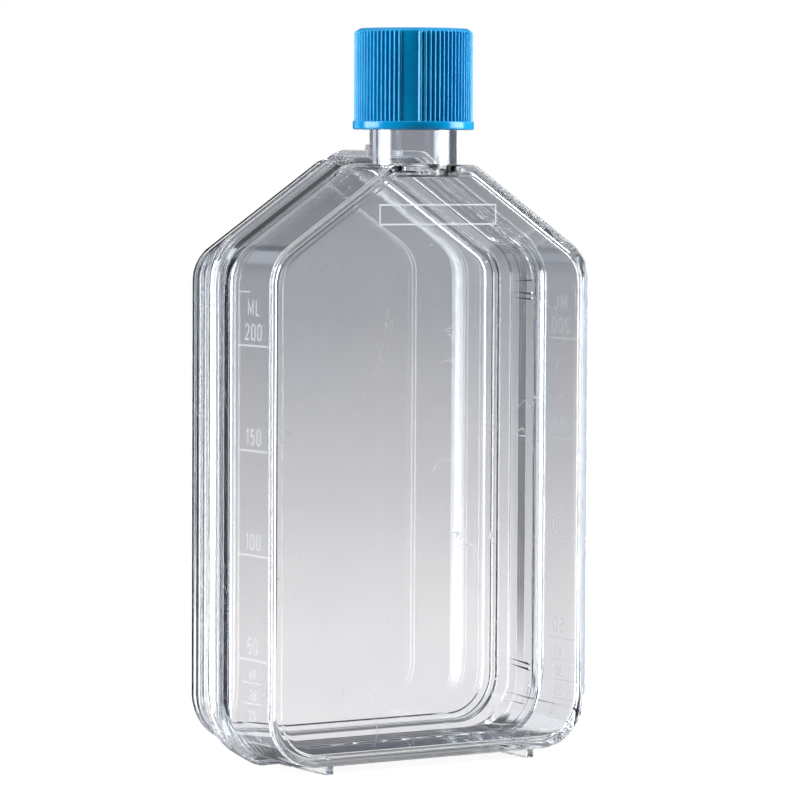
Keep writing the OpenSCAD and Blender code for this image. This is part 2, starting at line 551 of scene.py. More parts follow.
@dataclass(frozen=True)
class WhiteFoamLiner(Finish):
    """Expanded polyethylene foam, die-cut from sheet: matt, with very fine closed cells."""

    name: str = "white_foam_liner"
    colour: str = "EEEEEA"
    cell_colour: str = "DDDDD8"
    roughness: float = 0.7
    cell_mm: float = 0.35

    def surface(self, graph: Graph) -> Node:
        """Adds matt white foam with raised cells.

        Args:
            graph: the node tree to add to.

        Returns:
            The shader.
        """
        cells = graph.add("TexVoronoi", Vector=graph.here, Scale=lumps(self.cell_mm))
        stops = [(0.1, self.colour), (0.7, self.cell_colour)]
        return graph.add(
            "BsdfPrincipled",
            Base_Color=graph.add("ValToRGB", {"stops": stops}, i0=cells),
            Roughness=self.roughness,
            Normal=graph.add("Bump", {"invert": True}, Height=cells, Strength=0.6, Distance=0.05 * MM),
        )


def dress_as(obj: Object, finish: Finish, body: str, slot: str, *nodes: str) -> None:
    """Gives a piece its material and its body, and hides the CAD nodes that it stands for.

    Args:
        obj: the piece.
        finish: what it is made of.
        body: the CAD body that it rides on.
        slot: the record's material slot; not used.
        nodes: CAD nodes that it replaces.
    """
    obj.data.materials.clear()
    obj.data.materials.append(finish.build())
    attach(obj, body)
    if nodes:
        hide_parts(*nodes)


# --- Places and outline ---


@dataclass(frozen=True)
class Places:
    """The frame's own places, in millimetres."""

    front: float
    seam: float
    rear: float
    half_flange: float
    flange_top: float
    neck_top: float
    neck_y: float
    cap_low: float
    cap_top: float
    seal_low: float
    seal_top: float

    @classmethod
    def read(cls) -> "Places":
        """Reads the boxes of the CAD nodes and the mount on the front ridge.

        Returns:
            The places.
        """
        nodes = ("front_shell", "rear_shell", "screw_cap", "cap_seal")
        front, rear, cap, seal = ([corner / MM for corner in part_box(node)] for node in nodes)
        mounts = {m["name"]: m["pos_m"] for m in frame["record"]["mounts"]}
        return cls(
            front=mounts["front_rim"][1] / MM,
            seam=rear[0].y,
            rear=rear[1].y,
            half_flange=rear[1].x,
            flange_top=rear[1].z,
            neck_top=front[1].z,
            neck_y=(seal[0].y + seal[1].y) / 2,
            cap_low=cap[0].z,
            cap_top=cap[1].z,
            seal_low=seal[0].z,
            seal_top=seal[1].z,
        )


@dataclass(frozen=True)
class Outline:
    """The flask's six-sided outline at the front ridge, with rounded corners."""

    half_width: float
    low: float
    top: float
    foot_h: float = 1.8
    shoulder_drop: float = 20.0
    top_half: float = 10.2
    corner_r: float = 11.5
    shoulder_r: float = 10.0
    top_r: float = 5.0
    step_out: float = 1.5
    flange_out: float = 3.0
    flange_corner_r: float = 18.5
    rear_rounder: float = 1.2
    rear_shoulder_rise: float = 0.1
    rear_top_rise: float = 2.2
    spacing: float = 0.6

    @classmethod
    def fit(cls, places: Places) -> "Outline":
        """Fits the outline inside the flange, above the feet."""
        out = cls.flange_out
        return cls(places.half_flange - out, cls.foot_h, places.flange_top - out)

    def arcs(self, u: float, rear: float, rise: float) -> list[tuple[float, ...]]:
        """Gives centre X and Z, radius, first direction and turn of each corner's arc.

        Args:
            u: how far the outline is moved outwards.
            rear: 1 for the rounder bottom corners of the rear half.
            rise: 1 for the rear ridge's higher and narrower flat top.

        Returns:
            One row for each corner, counter-clockwise from the lower right.
        """
        slope = math.degrees(math.atan2(self.shoulder_drop, self.half_width - self.top_half))
        side_top = self.top - self.shoulder_drop + rise * self.rear_shoulder_rise
        top = self.top + rise * self.rear_top_rise
        narrower = rise * (self.rear_top_rise - self.rear_shoulder_rise) / math.tan(math.radians(slope))
        top_half = self.top_half - narrower
        width = self.flange_out - self.step_out
        widening = (self.flange_corner_r - self.corner_r - self.flange_out) / width
        on_wall = 1 - min(1.0, max(0.0, (u - self.step_out) / width))
        corner_r = self.corner_r + max(0.0, u - self.step_out) * widening
        corner_r += rear * self.rear_rounder * on_wall
        rows = []
        for x, z, radius, start, turn in (
            (self.half_width, self.low, corner_r, -90.0, 90.0),
            (self.half_width, side_top, self.shoulder_r, 0.0, 90.0 - slope),
            (top_half, top, self.top_r, 90.0 - slope, slope),
            (-top_half, top, self.top_r, 90.0, slope),
            (-self.half_width, side_top, self.shoulder_r, 90.0 + slope, 90.0 - slope),
            (-self.half_width, self.low, corner_r, 180.0, 90.0),
        ):
            middle = math.radians(start + turn / 2)
            reach = radius / math.cos(math.radians(turn / 2))
            centre = (x - reach * math.cos(middle), z - reach * math.sin(middle))
            rows.append((*centre, radius + u, math.radians(start), math.radians(turn)))
        return rows

    def ring(self, u: float, y: float, rear: float = 0.0, rise: float = 0.0) -> list[Point3]:
        """Gives evenly spaced points of the outline moved outwards by u, at the depth y.

        Every ring has the same number of points, so that rings join point to point.

        Args:
            u: how far the outline is moved outwards.
            y: depth of the ring.
            rear: 1 for the rounder bottom corners of the rear half.
            rise: 1 for the rear ridge's higher and narrower flat top.

        Returns:
            The ring's points, counter-clockwise seen from the front.
        """
        points: list[Point3] = []
        arcs, plain = self.arcs(u, rear, rise), self.arcs(0.0, 0.0, 0.0)
        for i, (cx, cz, radius, start, turn) in enumerate(arcs):
            count = math.ceil(plain[i][2] * turn / self.spacing)
            for k in range(count + 1):
                a = start + turn * k / count
                points.append((cx + radius * math.cos(a), y, cz + radius * math.sin(a)))
            j = (i + 1) % len(arcs)
            a = start + turn
            ends = [Vector((row[0] + row[2] * math.cos(a), y, row[1] + row[2] * math.sin(a)))
                    for row in (arcs[i], arcs[j])]
            base = [Vector((row[0], row[1])) + row[2] * Vector((math.cos(a), math.sin(a)))
                    for row in (plain[i], plain[j])]
            count = math.ceil((base[1] - base[0]).length / self.spacing)
            points += [tuple(ends[0].lerp(ends[1], k / count)) for k in range(1, count)]
        return points


def within(value: float, low: float, high: float) -> float:
    """Gives how far a value is from low to high, from 0 to 1."""
    return min(1.0, max(0.0, (value - low) / (high - low)))


def wander(count: int, spread: int, rng: random.Random) -> list[float]:
    """Makes smooth noise that closes on itself.

    Args:
        count: how many values.
        spread: how many values one bump is wide.
        rng: the seeded random source.

    Returns:
        One value from -1 to 1 for each point.
    """
    knots = max(4, count // spread)
    levels = [rng.uniform(-1, 1) for _ in range(knots)]
    values = []
    for i in range(count):
        place = i / count * knots
        k = int(place) % knots
        share = place - int(place)
        share = share * share * (3 - 2 * share)
        values.append(levels[k] * (1 - share) + levels[(k + 1) % knots] * share)
    return values


def block(name: str, outline: Outline, path: list[Ring], seam: float) -> Object:
    """Sweeps a section round the outline and closes it with a flat face at each end.

    The flange is pressed out by the weld, so its free faces are uneven.

    Args:
        name: name of the object.
        outline: the outline to follow.
        path: the section's points from front to rear, each with its outline's rear and rise.
        seam: depth of the weld.

    Returns:
        The closed object.
    """
    face_swell, edge_swell = 0.04, 0.06
    rng = random.Random(3)
    count = len(outline.ring(0.0, 0.0))
    swell = [0.75 * a + 0.25 * b for a, b in zip(wander(count, 30, rng), wander(count, 7, rng))]
    edge = [0.6 * a + 0.4 * b for a, b in zip(wander(count, 24, rng), wander(count, 5, rng))]
    verts: list[Point3] = []
    for u, y, rear, rise in path:
        free = within(u - outline.step_out, 0.05, 0.55)
        outer = max(0.0, (u - outline.step_out) / (outline.flange_out - outline.step_out))
        ring, inner = (outline.ring(v, y, rear, rise) for v in (u, u - edge_swell * outer))
        for k in range(count):
            x, _, z = Vector(ring[k]).lerp(Vector(inner[k]), 0.5 + 0.5 * edge[k])
            depth = y + math.copysign(face_swell, y - seam) * free * swell[k]
            verts.append((x, depth, max(0.0, z)))
    faces = [tuple(range(count)), tuple((len(path) - 1) * count + k for k in reversed(range(count)))]
    for i in range(len(path) - 1):
        for k in range(count):
            j = (k + 1) % count
            faces.append((i * count + k, (i + 1) * count + k, (i + 1) * count + j, i * count + j))
    return to_object(name, verts, faces)


# --- The flask's parts ---


class Part(ABC):
    """A sub-assembly that makes one piece and dresses it."""

    @abstractmethod
    def build(self) -> Object:
        """Makes the piece as one mesh."""

    @abstractmethod
    def dress(self, piece: Object) -> None:
        """Gives the piece its finish and body, and hides the CAD nodes that it stands for."""


@dataclass
class FlaskBody(Part):
    """The front half and the rear half, welded into one body, with the neck and the feet."""

    places: Places
    outline: Outline
    wall: float = 1.3
    ridge_h: float = 0.6
    ridge_w: float = 2.6
    flare: float = 2.2
    flare_start: float = 0.8
    flange_t: float = 0.8
    inset: float = 1.4
    rear_step: float = 3.0
    rear_flare: float = 1.9
    ledge_start: float = 7.0
    ledge_end: float = 3.8
    ledge_inside: float = 0.27
    foot_w: float = 1.9
    foot_x: float = 25.35
    neck_r: float = 9.3
    neck_wall: float = 1.3
    thread_low: float = 10.5
    thread_turns: float = 2.2
    thread_lead: float = 4.0
    thread_h: float = 0.85
    gate_y: float = 6.0
    gate_h: float = 2.75

    def placed(self, path: list[Point], inner: bool) -> list[Ring]:
        """Adds to a section's points how far the rear half's own outline counts there.

        Args:
            path: the section's points, as distance outwards and depth Y.
            inner: whether this is the inner section, whose corners change gradually.

        Returns:
            The points, each with its outline's rear and rise.
        """
        seam = self.places.seam
        start, end = (self.places.rear - depth for depth in (self.ledge_start, self.ledge_end))
        return [
            (u, y, within(y, seam, start) if inner else float(y > seam), within(y, start, end))
            for u, y in path
        ]

    def outside(self) -> list[Ring]:
        """Gives the outer section from the front face over the flange to the rear face.

        Returns:
            The section's points.
        """
        y0, y1, seam = self.places.front, self.places.rear, self.places.seam
        under, behind = seam - self.flange_t, seam + self.flange_t
        flared = under - self.flare_start
        step, flange = self.outline.step_out, self.outline.flange_out
        # Each corner: distance outwards, depth and rounding
        return self.placed(rounded_path([
            (-self.ridge_w - 1.0, y0 + self.ridge_h, 0),
            (-self.ridge_w, y0 + self.ridge_h, 0.3),
            (-self.ridge_w + 0.3, y0, 0.35),
            (0.0, y0, 0.55),
            (0.0, flared - self.flare, 0.9),
            (step, flared, 0.7),
            (step, under, 0.25),
            (flange, under, 0.3),
            (flange, behind, 0.3),
            (step, behind, 0.25),
            (step, behind + self.rear_step, 0.7),
            (0.0, behind + self.rear_step + self.rear_flare, 0.9),
            (0.0, y1 - self.ledge_start, 1.5),
            (-self.inset, y1 - self.ledge_end, 1.5),
            (-self.inset, y1, 0.6),
            (-self.inset - self.ridge_w + 0.3, y1, 0.35),
            (-self.inset - self.ridge_w, y1 - self.ridge_h, 0.3),
            (-self.inset - self.ridge_w - 1.0, y1 - self.ridge_h, 0),
        ]), inner=False)

    def inside(self) -> list[Ring]:
        """Gives the inner section from the front wall past the seam to the growth face.

        Returns:
            The section's points.
        """
        y0 = self.places.front + self.ridge_h + self.wall
        y1 = self.places.rear - self.ridge_h - self.wall
        return self.placed(rounded_path([
            (-self.wall - 1.6, y0, 0),
            (-self.wall, y0, 0.7),
            (-self.wall, self.places.rear - self.ledge_start - self.ledge_inside, 1.2),
            (-self.inset - self.wall, self.places.rear - self.ledge_end - self.ledge_inside, 1.2),
            (-self.inset - self.wall, y1, 0.6),
            (-self.inset - self.wall - 1.6, y1, 0),
        ]), inner=True)

    def flash(self) -> Object:
        """Makes the uneven thread of plastic that the weld squeezes out inside.

        Returns:
            The closed object.
        """
        rng = random.Random(5)
        ring = self.outline.ring(-self.wall + 0.1, self.places.seam - 0.05)
        count = len(ring)
        size = [1 + 0.25 * a + 0.25 * b for a, b in zip(wander(count, 11, rng), wander(count, 3, rng))]
        half = [(0.24 * value, 0.3 * value) for value in size]
        return tube("flash", ring, half, closed=True)

    def turned(self, name: str, turns: list[Point3]) -> Object:
        """Turns a rounded path round the neck's axis."""
        return lathe(name, rounded_path(turns), (0, self.places.neck_y))

    def neck(self) -> Object:
        """Makes the solid plug of the neck, from inside the top wall up to its rim."""
        top, base, r = self.places.neck_top, self.outline.top - 0.9, self.neck_r
        return self.turned("neck", [(0, base, 0), (r, base, 0), (r, top, 0.35), (0, top, 0)])

    def bore(self) -> Object:
        """Makes the cutter for the neck's bore, which widens a little at the rim.

        Returns:
            The closed object.
        """
        top, base = self.places.neck_top, self.outline.top - self.wall - 1.2
        r = self.neck_r - self.neck_wall
        wide = r + 0.35
        return self.turned("bore", [
            (0, base, 0),
            (r, base, 0),
            (r, top - 0.3, 0),
            (wide, top + 0.1, 0.2),
            (wide, top + 1, 0),
            (0, top + 1, 0),
        ])

    def thread(self) -> Object:
        """Makes the raised thread that the cap turns on.

        Returns:
            The closed object.
        """
        round_steps, fade_steps = 60, 12
        steps = int(self.thread_turns * round_steps)
        start = self.places.neck_top - self.thread_low
        root = self.neck_r - 0.1
        route, sizes = [], []
        for k in range(steps + 1):
            a = 2 * math.pi * k / round_steps
            fade = min(1.0, k / fade_steps, (steps - k) / fade_steps)
            height = start + self.thread_lead * k / round_steps
            route.append((root * math.cos(a), self.places.neck_y + root * math.sin(a), height))
            sizes.append((0.12 + self.thread_h * fade, 0.25 + 0.5 * fade))
        return tube("thread", route, sizes, closed=False)

    def foot(self, side: int) -> Object:
        """Makes one foot rib, from the front ridge to the flange.

        Args:
            side: -1 for the left foot and 1 for the right one.

        Returns:
            The closed object.
        """
        middle, half = side * self.foot_x, self.foot_w / 2
        y0, y1 = self.places.front + 0.5, self.places.seam - 0.4
        z1 = self.outline.low + 0.6
        verts = [(x, y, z) for x in (middle - half, middle + half) for y in (y0, y1) for z in (0.0, z1)]
        faces = [(0, 1, 3, 2), (4, 6, 7, 5), (0, 4, 5, 1), (2, 3, 7, 6), (0, 2, 6, 4), (1, 5, 7, 3)]
        foot = to_object("foot", verts, faces)
        rounding = foot.modifiers.new("rounding", "BEVEL")
        rounding.width = 0.25 * MM
        rounding.segments = 3
        bake_modifiers(foot)
        return foot

    def gate(self) -> Object:
        """Makes the short stub that is left of the moulding gate, on the top wall.

        Returns:
            The closed object.
        """
        base = self.outline.top + self.outline.step_out
        end = base + self.gate_h
        path = rounded_path([(0, base - 0.5, 0), (0.75, base - 0.5, 0), (0.62, end, 0.2), (0, end, 0)])
        return lathe("gate", path, (0, self.places.seam + self.gate_y), 24)

    def build(self) -> Object:
        """Makes the whole body as one closed mesh.

        Returns:
            The body.
        """
        seam = self.places.seam
        body = block("welded_body", self.outline, self.outside(), seam)
        for piece in (self.foot(-1), self.foot(1), self.neck(), self.thread(), self.gate()):
            combine(body, piece, Operation.JOIN)
        combine(body, block("chamber", self.outline, self.inside(), seam), Operation.CUT)
        combine(body, self.flash(), Operation.JOIN)
        combine(body, self.bore(), Operation.CUT)
        smooth(body)
        return body

    def dress(self, piece: Object) -> None:
        """Dresses the body, which stands for both shells."""
        dress_as(piece, ClearPolystyrene(), "flask", "clear_polystyrene", "front_shell", "rear_shell")


@dataclass
class ScrewCap(Part):
    """The ribbed screw cap."""

    places: Places
    inner_r: float = 10.7
    skirt_r: float = 12.3
    rib_h: float = 0.4
    band_h: float = 1.8
    band_r: float = 12.9
    bevel: float = 0.8
    top_t: float = 1.5
    groups: int = 4
    group_ribs: int = 16
    group_gap: float = 15.6
    turned: float = 54.0
    count: int = 1440

    def rib(self, a: float) -> float:
        """Gives how far the ribs stand out of the skirt in a direction.

        Args:
            a: the direction, in degrees.

        Returns:
            The height, 0 between two groups of ribs.
        """
        group = 360.0 / self.groups
        pitch = (group - self.group_gap) / self.group_ribs
        place = (a - self.turned) % group - self.group_gap / 2
        if place < 0 or place > group - self.group_gap:
            return 0.0
        return self.rib_h * (0.5 - 0.5 * math.cos(2 * math.pi * (place / pitch % 1.0))) ** 0.6

    def build(self) -> Object:
        """Makes the cap as one closed mesh.

        Returns:
            The cap.
        """
        low, top = self.places.cap_low, self.places.cap_top
        under, band_top, rib_top = top - self.top_t, low + self.band_h, top - self.bevel
        # Each ring: radius without ribs, height, and how much of the ribs shows
        path = [
            (0.0, under, 0),
            (self.inner_r - 0.4, under, 0),
            (self.inner_r, under - 0.4, 0),
            (self.inner_r, low + 0.3, 0),
            (self.inner_r + 0.25, low, 0),
            (self.band_r - 0.3, low, 0),
            (self.band_r - 0.08, low + 0.1, 0),
            (self.band_r, low + 0.3, 0),
            (self.band_r, band_top - 0.25, 0),
            (self.band_r - 0.07, band_top - 0.06, 0),
            (self.band_r - 0.22, band_top, 0),
            (self.skirt_r, band_top, 1),
            (self.skirt_r, rib_top - 0.15, 1),
            (self.skirt_r - 0.02, rib_top + 0.1, 0.6),
            (self.skirt_r - 0.12, rib_top + 0.25, 0.15),
            (self.skirt_r - 0.62, top - 0.2, 0),
            (self.skirt_r - 0.85, top - 0.04, 0),
            (self.skirt_r - 1.1, top, 0),
            (0.0, top, 0),
        ]
        ribs = [self.rib(360.0 * k / self.count) for k in range(self.count)]
        cap = lathe("ribbed_cap", path, (0, self.places.neck_y), self.count, ribs)
        smooth(cap, 50.0)
        return cap

    def dress(self, piece: Object) -> None:
        """Dresses the cap."""
        dress_as(piece, BluePolyethylene(), "cap", "blue_polyethylene", "screw_cap")


@dataclass
class CapSeal(Part):
    """The sealing disc inside the cap."""

    places: Places
    radius: float = 10.2
    clearance: float = 0.02

    def build(self) -> Object:
        """Makes the disc as one closed mesh, just clear of the cap above it.

        Returns:
            The disc.
        """
        r, low, top = self.radius, self.places.seal_low, self.places.seal_top - self.clearance
        path = rounded_path([(0, low, 0), (r, low, 0.2), (r, top, 0.2), (0, top, 0)])
        seal = lathe("liner_disc", path, (0, self.places.neck_y), 96)
        smooth(seal)
        return seal

    def dress(self, piece: Object) -> None:
        """Dresses the disc."""
        dress_as(piece, WhiteFoamLiner(), "seal", "white_seal", "cap_seal")


# --- Raised marks ---


def bow(centre: Point, half: Point, start: float, end: float, count: int = 10) -> list[Point]:
    """Gives the points of an arc of an upright ellipse between two directions in degrees."""
    angles = [math.radians(start + (end - start) * k / count) for k in range(count + 1)]
    return [(centre[0] + half[0] * math.cos(a), centre[1] + half[1] * math.sin(a)) for a in angles]


# Strokes of each character in units of its height, drawn narrow as mould engravers do
GLYPHS: dict[str, list[list[Point]]] = {
    "0": [
        bow((0.25, 0.73), (0.2, 0.22), 0, 180) + bow((0.25, 0.27), (0.2, 0.22), 180, 360) + [(0.45, 0.73)]
    ],
    "1": [[(0.12, 0.78), (0.30, 0.95), (0.30, 0.05)]],
    "2": [bow((0.25, 0.72), (0.2, 0.23), 165, -35) + [(0.06, 0.06), (0.47, 0.06)]],
    "3": [bow((0.23, 0.72), (0.2, 0.22), 150, -80) + bow((0.23, 0.27), (0.22, 0.23), 85, -150)],
    "4": [[(0.52, 0.28), (0.04, 0.28), (0.37, 0.95), (0.37, 0.05)]],
    "5": [[(0.44, 0.94), (0.11, 0.94), (0.08, 0.56)] + bow((0.25, 0.33), (0.2, 0.27), 120, -150)],
    "M": [[(0.05, 0.05), (0.05, 0.95), (0.33, 0.25), (0.61, 0.95), (0.61, 0.05)]],
    "L": [[(0.06, 0.95), (0.06, 0.06), (0.42, 0.06)]],
}
# Room that a character takes along the line, and the part of it that follows the last one
ADVANCE: dict[str, float] = {"1": 0.58, "M": 0.92, "L": 0.6}
USUAL_ADVANCE = 0.72
LAST_GAP = 0.22
# Section of a raised line: place across in shares of its width, and share of its height
SECTION: tuple[Point, ...] = ((0.5, 0.0), (0.38, 1.0), (-0.38, 1.0), (-0.5, 0.0))


@dataclass
class Marks(Part):
    """Raised marks on the front half: filling lines with their figures, or a label frame."""

    places: Places
    outline: Outline
    kind: MarkSet
    height: float = 0.06
    clearance: float = 0.006
    stroke: float = 0.42
    fine_stroke: float = 0.34
    pitch: float = 21.9
    fine_pitch: float = 4.33
    fifty: float = 24.3
    ten: float = 6.5
    half_line: float = 6.1
    half_fine_line: float = 4.0
    figure_h: float = 3.5
    fine_figure_h: float = 2.2
    wall_middle: float = 8.1
    figures_right: float = 2.3
    frame_face: float = 0.6
    frame_x: Point = (-13.55, 15.55)
    frame_z: Point = (115.2, 119.3)
    frame_stroke: float = 0.32
    verts: list[Point3] = field(default_factory=list)
    faces: list[tuple[int, ...]] = field(default_factory=list)

    def ribbon(self, line: list[Point], width: float, place: Place) -> None:
        """Adds a flat-topped ridge along a line.

        Args:
            line: points along and up the wall.
            width: width of the ridge.
            place: puts a point and a height above the wall into space.
        """
        points = [Vector(p) for p in line]
        closed = (points[0] - points[-1]).length < TINY
        if closed:
            points = points[:-1]
        first = len(self.verts)
        count = len(points)
        for i, p in enumerate(points):
            before = points[i - 1] if closed or i else p
            after = points[(i + 1) % count] if closed or i + 1 < count else p
            arriving = ((p - before) if (p - before).length > TINY else (after - p)).normalized()
            leaving = (after - p).normalized() if (after - p).length > TINY else arriving
            mean = (arriving + leaving).normalized()
            side = Vector((-mean.y, mean.x)) / max(0.45, mean.dot(arriving))
            for share, lift in SECTION:
                q = p + side * width * share
                self.verts.append(place(q.x, q.y, self.clearance + lift * self.height))
        rings = [[first + 4 * i + k for k in range(4)] for i in range(count)]
        self.faces += bands(rings, closed)
        if not closed:
            self.faces += [(first, first + 3, first + 2, first + 1), tuple(rings[-1])]

    def text(self, words: str, centre: Point, size: float, place: Place) -> None:
        """Adds raised characters.

        Args:
            words: the characters.
            centre: their middle along the wall, and the height of their feet.
            size: height of a character.
            place: puts a point and a height above the wall into space.
        """
        total = sum(ADVANCE.get(c, USUAL_ADVANCE) for c in words)
        x = centre[0] - (total - LAST_GAP) * size / 2
        width = self.stroke * (0.6 + 0.4 * size / self.figure_h)
        for character in words:
            for stroke in GLYPHS[character]:
                self.ribbon([(x + px * size, centre[1] + py * size) for px, py in stroke], width, place)
            x += ADVANCE.get(character, USUAL_ADVANCE) * size

    def on_side(self, sign: int, s: float, z: float, lift: float) -> Point3:
        """Puts a point of a side wall in space, also on the rounding below the wall.

        Args:
            sign: -1 for the left wall and 1 for the right one.
            s: place along the wall, from its middle to the reader's right.
            z: height.
            lift: distance out of the wall.

        Returns:
            The point.
        """
        wall, radius = sign * self.outline.half_width, self.outline.corner_r
        y = self.places.front + self.wall_middle + sign * s
        drop = self.outline.low + radius - z
        if drop <= 0:
            return (wall + sign * lift, y, z)
        reach = math.sqrt(max(0.0, radius ** 2 - drop ** 2))
        out = 1 + lift / radius
        return (wall - sign * (radius - reach * out), y, self.outline.low + radius - drop * out)

    def on_face(self, x: float, z: float, lift: float) -> Point3:
        """Puts a point of the front face in space."""
        return (x, self.places.front + self.frame_face - lift, z)

    def side(self, sign: int) -> None:
        """Adds the filling marks of one side wall, to be read from outside.

        Args:
            sign: -1 for the left wall and 1 for the right one.
        """
        place = partial(self.on_side, sign)
        middle = self.figures_right if sign > 0 else 0.0
        long, short = self.half_line, self.half_fine_line
        for k, words in enumerate(("50", "100", "150", "200")):
            z = self.fifty + k * self.pitch
            self.ribbon([(-long, z), (long, z)], self.stroke, place)
            self.text(words, (middle, z + 1.1), self.figure_h, place)
        last = self.fifty + 3 * self.pitch
        self.text("ML", (middle, last + 6.2), 3.4, place)
        self.ribbon([(-long, last + 11.2), (-1.5, last + 11.2)], 0.3, place)
        for k, words in enumerate(("10", "20", "30", "40")):
            z = self.ten + k * self.fine_pitch
            self.ribbon([(-short, z), (short, z)], self.fine_stroke, place)
            self.text(words, (middle, z + 0.7), self.fine_figure_h, place)

    def label_frame(self) -> None:
        """Adds the empty frame on the front face, a little to the right of its middle."""
        (left, right), (low, high) = self.frame_x, self.frame_z
        corners = [(left, low), (right, low), (right, high), (left, high), (left, low)]
        self.ribbon(corners, self.frame_stroke, self.on_face)

    def build(self) -> Object:
        """Makes the marks as one mesh.

        Returns:
            The marks.
        """
        if self.kind is MarkSet.FRAME:
            self.label_frame()
        else:
            self.side(-1)
            self.side(1)
        marks = to_object(self.kind.value, self.verts, self.faces)
        shape = bmesh.new()
        shape.from_mesh(marks.data)
        bmesh.ops.recalc_face_normals(shape, faces=shape.faces)
        shape.to_mesh(marks.data)
        shape.free()
        return marks

    def dress(self, piece: Object) -> None:
        """Dresses the marks; the haze of the label frame is denser.

        Args:
            piece: the marks.
        """
        finish = EtchedPolystyrene()
        if self.kind is MarkSet.FRAME:
            finish = EtchedPolystyrene(name="etched_frame", haze=(0.45, 0.7))
        dress_as(piece, finish, "flask", "clear_polystyrene")


# --- Studio ---


@dataclass
class Studio:
    """Floor, lamps, world and camera. None of it is part of the flask.

    A plastic wall that is looked straight through shows a sweep that is pale near the flask
    and darker further off. A wall that mirrors shows a dark room with two tall softboxes.
    Directions are azimuths in degrees, 0 toward the camera and 90 to its right.
    """

    places: Places
    yaw_deg: float = 32.57
    tilt_deg: float = 3.416
    roll_deg: float = 0.3025
    distance: float = 897.35
    aside: float = 7.364
    eye_z: float = 131.6
    lens: float = 191.3
    # Each mirrored softbox: azimuth, half its width in degrees, and brightness
    boxes: tuple[Point3, ...] = ((-88.0, 18.0, 8.0), (93.0, 17.0, 8.0))
    sweep_deg: Point = (11.5, 14.5)
    sweep_from: float = 180.0
    floor_r: float = 20000.0
    floor_z: float = -0.02
    # Middle and half size of the shadow painted on the floor under the flask
    painted_shadow_centre: Point = (6.0, 11.0)
    painted_shadow_half: Point = (42.0, 14.0)
    lamp_size: Point = (520.0, 900.0)
    lamp_away: float = 1000.0
    lamp_z: float = 480.0
    lamp_aim: float = 90.0

    def toward(self, azimuth: float) -> Vector:
        """Gives the level direction of an azimuth."""
        angle = math.radians(-90.0 - self.yaw_deg + azimuth)
        return Vector((math.cos(angle), math.sin(angle), 0))

    def camera(self) -> None:
        """Puts the camera as high as the shoulders, left of the front, looking down a little."""
        data = bpy.data.cameras.new("camera")
        data.lens = self.lens
        data.sensor_width = 36.0
        data.clip_end = 100.0
        camera = bpy.data.objects.new("camera", data)
        yaw = math.radians(self.yaw_deg)
        ahead = Vector((math.sin(yaw), math.cos(yaw), 0))
        right = Vector((math.cos(yaw), -math.sin(yaw), 0))
        target = Vector((0, self.places.front, 0))
        spot = target - ahead * self.distance - right * self.aside + Vector((0, 0, self.eye_z))
        turn = Matrix.Rotation(-yaw, 4, "Z")
        turn = turn @ Matrix.Rotation(math.radians(90.0 - self.tilt_deg), 4, "X")
        turn = turn @ Matrix.Rotation(math.radians(self.roll_deg), 4, "Z")
        camera.matrix_world = Matrix.Translation(spot * MM) @ turn
        bpy.context.scene.collection.objects.link(camera)
        bpy.context.scene.camera = camera

    def sector(self, graph: Graph, direction: Socket, azimuth: float, edge: Point,
               fade: Fade = Fade.EVEN, level: float = 1.0) -> Node:
        """Gives a level in the directions round an azimuth and 0 elsewhere.

        Args:
            graph: the node tree to add to.
            direction: vector from the flask outwards.
            azimuth: middle of the directions.
            edge: where the fall to either side begins and ends, in degrees from the middle.
            fade: how the level falls.
            level: the full level.

        Returns:
            The node that gives the level.
        """
        flat = graph.add("VectorMath", "MULTIPLY", i0=direction, i1=(1, 1, 0))
        flat = graph.add("VectorMath", "NORMALIZE", i0=flat)
        near = graph.add("VectorMath", "DOT_PRODUCT", i0=flat, i1=self.toward(azimuth)).outputs["Value"]
        inner, outer = (math.cos(math.radians(angle)) for angle in edge)
        settings = {"interpolation_type": fade.value}
        return graph.add("MapRange", settings, Value=near, From_Min=outer, From_Max=inner, To_Max=level)

    def floor(self) -> None:
        """Lays a wide round floor, white to the eye and paler near the flask through it, with a shadow
        painted under the flask that shows through the walls and in mirrors.
        """
        disc = [(self.floor_r, self.floor_z), (0.0, self.floor_z)]
        floor = lathe("floor", disc, (0, 0), 96)
        material = bpy.data.materials.new("floor")
        graph = Graph(material)
        path = graph.add("LightPath").outputs
        reach = graph.add("VectorMath", "LENGTH", i0=graph.here).outputs["Value"]
        # From 0.1 m to 10 m, evenly by ratio
        share = graph.add("Math", "LOGARITHM", i0=reach, i1=10.0)
        share = graph.add("MapRange", Value=share, From_Min=-1.0, From_Max=1.0)
        sweep = graph.add("ValToRGB", {"stops": [
            (0.0, 1.08, 1.03, 1.02), (0.18, 1.05, 1.0, 0.99), (0.3, 0.94, 0.9, 0.895),
            (0.44, 0.775, 0.745, 0.745), (0.69, 0.505, 0.5, 0.515), (0.82, 0.48, 0.48, 0.5),
            (1.0, 0.4, 0.4, 0.43),
        ]}, i0=share)
        around = graph.add("ValToRGB", {"stops": [
            (0.0, 1.08, 1.03, 1.02), (0.12, 1.0, 0.96, 0.95), (0.2, 0.6), (0.28, 0.3),
            (0.38, 0.22, 0.225, 0.24),
        ]}, i0=share)
        # The sweep is as wide as the flask beside it and widens slowly behind it
        start = self.toward(180.0) * self.sweep_from * MM
        behind = graph.add("VectorMath", "ADD", i0=graph.here, i1=start)
        on_sweep = self.sector(graph, behind.outputs[0], 180.0, self.sweep_deg, Fade.SOFT)
        through = graph.add("Mix", RGBA, Factor=on_sweep, i6=around, i7=sweep).outputs[2]
